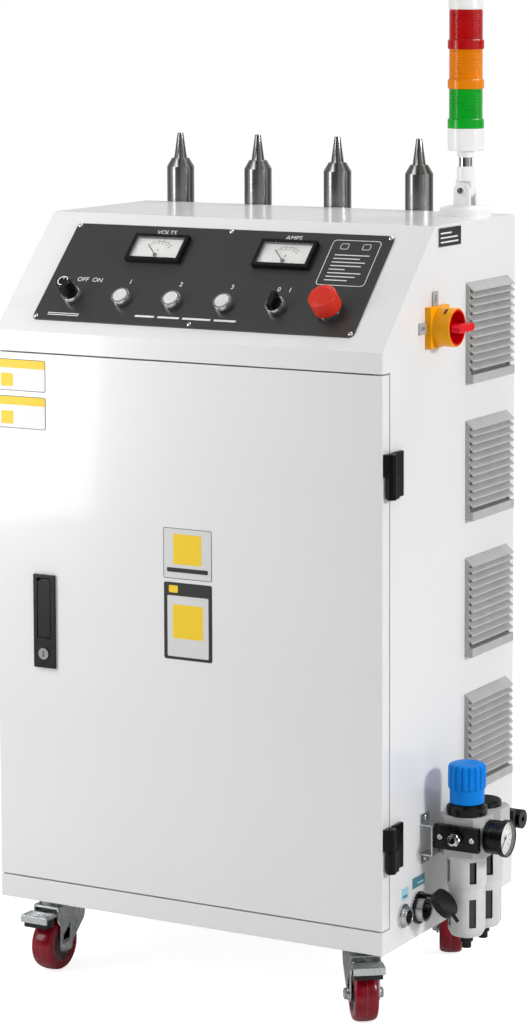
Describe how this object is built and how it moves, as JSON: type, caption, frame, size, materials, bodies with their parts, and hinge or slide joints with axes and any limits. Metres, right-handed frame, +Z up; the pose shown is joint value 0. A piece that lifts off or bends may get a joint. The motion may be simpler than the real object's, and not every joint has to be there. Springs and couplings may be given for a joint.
{
  "type": "plasma surface treatment cabinet",
  "caption": "Wheeled sheet-metal cabinet with a sloped control panel, louvred side, air unit, signal tower and round steel plasma guns standing behind its top.",
  "frame": {"origin": "middle of the cabinet footprint on the floor", "axes": "+X right and +Y back as seen by someone who faces the door, +Z up"},
  "size_m": [0.713, 0.472, 1.3565],
  "materials": {
    "white_sheet": "satin white paint",
    "unit_grey": "grey paint",
    "black_plate": "satin black",
    "black_metal": "black powder coat",
    "meter_black": "black",
    "dial_white": "white print",
    "clear_cover": "clear",
    "chrome_ring": "polished",
    "block_grey": "moulded",
    "isolator_yellow": "yellow moulding",
    "isolator_red": "red moulding",
    "louvre_grey": "grey moulding",
    "zinc": "zinc plated",
    "air_grey": "light grey die casting",
    "guard_grey": "light grey moulding",
    "air_black": "black moulding",
    "rubber_black": "soft black rubber",
    "rack_white": "white powder coat",
    "tower_white": "white moulding",
    "lens_green": "green lens",
    "lens_amber": "amber lens",
    "lens_red": "red lens",
    "button_white": "white button",
    "knob_black": "black",
    "needle_black": "black",
    "regulator_blue": "blue moulding",
    "gun_steel": "turned steel",
    "wheel_red": "red polyurethane"
  },
  "bodies": {
    "cabinet": {"cabinet_shell": "white_sheet", "rear_panel": "white_sheet", "power_units": "unit_grey", "hinge_body_leaves": "black_metal", "control_plate": "black_plate", "meter_cases": "meter_black", "instrument_dials": "dial_white", "instrument_windows": "clear_cover", "switch_rings": "chrome_ring", "contact_blocks": "block_grey", "isolator_plate": "isolator_yellow", "louvre_grilles": "louvre_grey", "air_brackets": "zinc", "air_bodies": "air_grey", "bowl_guards": "guard_grey", "bowls": "clear_cover", "bowl_drains": "air_black", "air_trim": "air_black", "gauge_case": "meter_black", "socket_shells": "chrome_ring", "socket_inserts": "air_black", "dust_cap": "rubber_black", "gun_rack": "rack_white", "tower_foot": "tower_white", "caster_plates": "zinc"},
    "door": {"door_panel": "white_sheet", "hinge_door_leaves": "black_metal", "lock_housing": "black_metal"},
    "lock_handle": {"lock_handle": "black_metal"},
    "lock_barrel": {"lock_barrel": "chrome_ring"},
    "tower": {"tower_stem": "tower_white", "lens_green": "lens_green", "lens_amber": "lens_amber", "lens_red": "lens_red", "tower_cap": "tower_white"},
    "push_button_1": {"push_button_1": "button_white"},
    "push_button_2": {"push_button_2": "button_white"},
    "push_button_3": {"push_button_3": "button_white"},
    "power_knob": {"power_knob": "knob_black"},
    "selector_knob": {"selector_knob": "knob_black"},
    "estop_button": {"estop_button": "isolator_red"},
    "isolator_handle": {"isolator_handle": "isolator_red"},
    "voltmeter_needle": {"voltmeter_needle": "needle_black"},
    "ammeter_needle": {"ammeter_needle": "needle_black"},
    "gauge_needle": {"gauge_needle": "needle_black"},
    "regulator_knob": {"regulator_knob": "regulator_blue"},
    "gun_1": {"gun_1": "gun_steel"},
    "gun_2": {"gun_2": "gun_steel"},
    "gun_3": {"gun_3": "gun_steel"},
    "gun_4": {"gun_4": "gun_steel"},
    "fork_front_left": {"fork_front_left": "zinc"},
    "wheel_front_left": {"wheel_front_left": "wheel_red"},
    "pedal_front_left": {"pedal_front_left": "zinc"},
    "fork_front_right": {"fork_front_right": "zinc"},
    "wheel_front_right": {"wheel_front_right": "wheel_red"},
    "pedal_front_right": {"pedal_front_right": "zinc"},
    "fork_back_left": {"fork_back_left": "zinc"},
    "wheel_back_left": {"wheel_back_left": "wheel_red"},
    "fork_back_right": {"fork_back_right": "zinc"},
    "wheel_back_right": {"wheel_back_right": "wheel_red"}
  },
  "joints": [
    {"name": "door_swing", "type": "hinge", "parent": "cabinet", "child": "door", "pos_m": [0.308, -0.19, 0.5], "axis": [0, 0, 1], "range_deg": [0, 120]},
    {"name": "lock_handle_lift", "type": "hinge", "parent": "door", "child": "lock_handle", "pos_m": [-0.222, -0.1975, 0.5575], "axis": [-1, 0, 0], "range_deg": [0, 35]},
    {"name": "key_turn", "type": "hinge", "parent": "door", "child": "lock_barrel", "pos_m": [-0.222, -0.2, 0.4565], "axis": [0, 1, 0], "range_deg": [0, 90]},
    {"name": "push_button_1_press", "type": "slide", "parent": "cabinet", "child": "push_button_1", "axis": [0, 0.7094, -0.7048], "range_m": [0, 0.0035], "stiffness_N_per_m": 600, "springref_m": -0.002},
    {"name": "push_button_2_press", "type": "slide", "parent": "cabinet", "child": "push_button_2", "axis": [0, 0.7094, -0.7048], "range_m": [0, 0.0035], "stiffness_N_per_m": 600, "springref_m": -0.002},
    {"name": "push_button_3_press", "type": "slide", "parent": "cabinet", "child": "push_button_3", "axis": [0, 0.7094, -0.7048], "range_m": [0, 0.0035], "stiffness_N_per_m": 600, "springref_m": -0.002},
    {"name": "power_knob_turn", "type": "hinge", "parent": "cabinet", "child": "power_knob", "pos_m": [-0.2, -0.15737, 0.94675], "axis": [0, 0.7094, -0.7048], "range_deg": [0, 90]},
    {"name": "selector_turn", "type": "hinge", "parent": "cabinet", "child": "selector_knob", "pos_m": [0.12, -0.15737, 0.94675], "axis": [0, 0.7094, -0.7048], "range_deg": [0, 90]},
    {"name": "estop_press", "type": "slide", "parent": "cabinet", "child": "estop_button", "axis": [0, 0.7094, -0.7048], "range_m": [0, 0.006]},
    {"name": "isolator_turn", "type": "hinge", "parent": "cabinet", "child": "isolator_handle", "pos_m": [0.32, -0.051, 0.9215], "axis": [1, 0, 0], "range_deg": [0, 90]},
    {"name": "voltmeter_swing", "type": "hinge", "parent": "cabinet", "child": "voltmeter_needle", "pos_m": [-0.1, -0.10346, 1.00314], "axis": [0, 0.7094, -0.7048], "range_deg": [0, 90]},
    {"name": "ammeter_swing", "type": "hinge", "parent": "cabinet", "child": "ammeter_needle", "pos_m": [0.1, -0.10346, 1.00314], "axis": [0, 0.7094, -0.7048], "range_deg": [0, 90]},
    {"name": "gauge_swing", "type": "hinge", "parent": "cabinet", "child": "gauge_needle", "pos_m": [0.406, -0.053, 0.2415], "axis": [-1, 0, 0], "range_deg": [0, 270]},
    {"name": "regulator_turn", "type": "hinge", "parent": "cabinet", "child": "regulator_knob", "pos_m": [0.3515, -0.053, 0.35], "axis": [0, 0, 1], "range_deg": [-360, 720]},
    {"name": "tower_fold", "type": "hinge", "parent": "cabinet", "child": "tower", "pos_m": [0.244, 0.158, 1.088], "axis": [0, 1, 0], "range_deg": [0, 90]},
    {"name": "gun_1_lift", "type": "slide", "parent": "cabinet", "child": "gun_1", "axis": [0, 0, 1], "range_m": [0, 0.14]},
    {"name": "gun_2_lift", "type": "slide", "parent": "cabinet", "child": "gun_2", "axis": [0, 0, 1], "range_m": [0, 0.14]},
    {"name": "gun_3_lift", "type": "slide", "parent": "cabinet", "child": "gun_3", "axis": [0, 0, 1], "range_m": [0, 0.14]},
    {"name": "gun_4_lift", "type": "slide", "parent": "cabinet", "child": "gun_4", "axis": [0, 0, 1], "range_m": [0, 0.14]},
    {"name": "swivel_front_left", "type": "hinge", "parent": "cabinet", "child": "fork_front_left", "pos_m": [-0.234, -0.138, 0.09], "axis": [0, 0, 1], "continuous": true},
    {"name": "roll_front_left", "type": "hinge", "parent": "fork_front_left", "child": "wheel_front_left", "pos_m": [-0.234, -0.168, 0.0375], "axis": [1, 0, 0], "continuous": true},
    {"name": "brake_front_left", "type": "hinge", "parent": "fork_front_left", "child": "pedal_front_left", "pos_m": [-0.234, -0.162, 0.083], "axis": [1, 0, 0], "range_deg": [0, 8]},
    {"name": "swivel_front_right", "type": "hinge", "parent": "cabinet", "child": "fork_front_right", "pos_m": [0.234, -0.138, 0.09], "axis": [0, 0, 1], "continuous": true},
    {"name": "roll_front_right", "type": "hinge", "parent": "fork_front_right", "child": "wheel_front_right", "pos_m": [0.25205, -0.16196, 0.0375], "axis": [0.7986, 0.6018, 0], "continuous": true},
    {"name": "brake_front_right", "type": "hinge", "parent": "fork_front_right", "child": "pedal_front_right", "pos_m": [0.24844, -0.15717, 0.083], "axis": [0.7986, 0.6018, 0], "range_deg": [0, 8]},
    {"name": "swivel_back_left", "type": "hinge", "parent": "cabinet", "child": "fork_back_left", "pos_m": [-0.234, 0.138, 0.09], "axis": [0, 0, 1], "continuous": true},
    {"name": "roll_back_left", "type": "hinge", "parent": "fork_back_left", "child": "wheel_back_left", "pos_m": [-0.219, 0.16398, 0.0375], "axis": [-0.866, 0.5, 0], "continuous": true},
    {"name": "swivel_back_right", "type": "hinge", "parent": "cabinet", "child": "fork_back_right", "pos_m": [0.234, 0.138, 0.09], "axis": [0, 0, 1], "continuous": true},
    {"name": "roll_back_right", "type": "hinge", "parent": "fork_back_right", "child": "wheel_back_right", "pos_m": [0.22132, 0.16519, 0.0375], "axis": [-0.9063, -0.4226, 0], "continuous": true}
  ]
}
